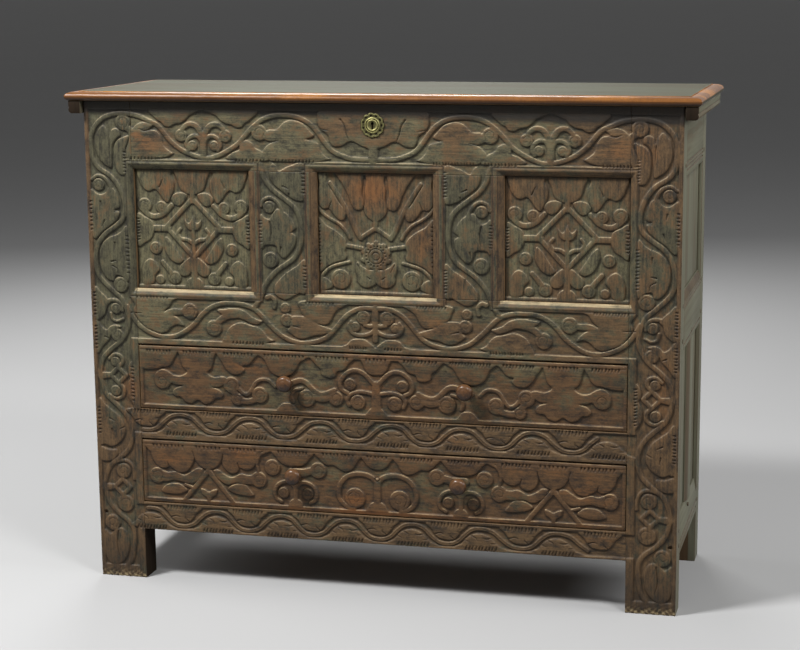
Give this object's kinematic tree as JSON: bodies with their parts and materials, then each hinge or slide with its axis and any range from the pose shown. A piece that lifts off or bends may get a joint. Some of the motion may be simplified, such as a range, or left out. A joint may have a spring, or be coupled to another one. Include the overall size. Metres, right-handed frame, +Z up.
{
  "type": "mule chest",
  "caption": "Joined oak chest with a hinged lid over a framed and carved panelled front, with drawers below on side runners, turned knobs and a lock behind a rosette keyhole plate.",
  "frame": {"origin": "centre of the footprint's bounding box, at floor level", "axes": "+X along the front to the viewer's right, +Y from the front to the back, +Z up"},
  "size_m": [1.204, 0.4314, 0.9603],
  "materials": {
    "front_oak": "old brown and grey-green paint over carved oak, worn and waxed",
    "side_oak": "old grey-green paint over oak, worn",
    "lid_oak": "old grey-green paint over oak, worn to brown at the edges",
    "inner_oak": "bare oak, sawn and planed",
    "turned_wood": "dark stained and polished by handling",
    "iron": "forged, dark",
    "brass": "cast, dulled to a greenish brown"
  },
  "bodies": {
    "case": {"post_front_left": "front_oak", "post_front_right": "front_oak", "front_top_rail": "front_oak", "front_middle_rail": "front_oak", "front_drawer_rail": "front_oak", "front_bottom_rail": "front_oak", "front_muntin_left": "front_oak", "front_muntin_right": "front_oak", "front_panel_left": "front_oak", "front_panel_centre": "front_oak", "front_panel_right": "front_oak", "post_rear_left": "side_oak", "post_rear_right": "side_oak", "side_top_rail_left": "side_oak", "side_middle_rail_left": "side_oak", "side_bottom_rail_left": "side_oak", "side_muntin_left": "side_oak", "side_panel_upper_left": "side_oak", "side_panel_lower_front_left": "side_oak", "side_panel_lower_rear_left": "side_oak", "side_top_rail_right": "side_oak", "side_middle_rail_right": "side_oak", "side_bottom_rail_right": "side_oak", "side_muntin_right": "side_oak", "side_panel_upper_right": "side_oak", "side_panel_lower_front_right": "side_oak", "side_panel_lower_rear_right": "side_oak", "back_top_rail": "inner_oak", "back_middle_rail": "inner_oak", "back_bottom_rail": "inner_oak", "back_panel_upper": "inner_oak", "back_panel_lower": "inner_oak", "chest_floor": "inner_oak", "upper_drawer_runner_frame": "inner_oak", "lower_drawer_runner_frame": "inner_oak", "hinge_case_leaf_left": "iron", "hinge_case_leaf_right": "iron", "lock_case": "iron", "escutcheon": "brass"},
    "lid": {"lid_board": "lid_oak", "lid_cleat_left": "side_oak", "lid_cleat_right": "side_oak", "hinge_lid_leaf_left": "iron", "hinge_lid_leaf_right": "iron", "lid_staple": "iron"},
    "upper_drawer": {"upper_drawer_front": "front_oak", "upper_drawer_side_left": "inner_oak", "upper_drawer_side_right": "inner_oak", "upper_drawer_back": "inner_oak", "upper_drawer_bottom": "inner_oak", "upper_drawer_knob_left": "turned_wood", "upper_drawer_knob_right": "turned_wood"},
    "lower_drawer": {"lower_drawer_front": "front_oak", "lower_drawer_side_left": "inner_oak", "lower_drawer_side_right": "inner_oak", "lower_drawer_back": "inner_oak", "lower_drawer_bottom": "inner_oak", "lower_drawer_knob_left": "turned_wood", "lower_drawer_knob_right": "turned_wood"},
    "lock_bolt": {"lock_bolt": "iron"}
  },
  "joints": [
    {"name": "lid_hinge", "type": "hinge", "parent": "case", "child": "lid", "pos_m": [0, 0.21115, 0.94], "axis": [-1, 0, 0], "range_deg": [0, 100]},
    {"name": "upper_drawer_slide", "type": "slide", "parent": "case", "child": "upper_drawer", "axis": [0, -1, 0], "range_m": [0, 0.28]},
    {"name": "lower_drawer_slide", "type": "slide", "parent": "case", "child": "lower_drawer", "axis": [0, -1, 0], "range_m": [0, 0.28]},
    {"name": "lock_bolt_slide", "type": "slide", "parent": "case", "child": "lock_bolt", "axis": [1, 0, 0], "range_m": [0, 0.009]}
  ]
}
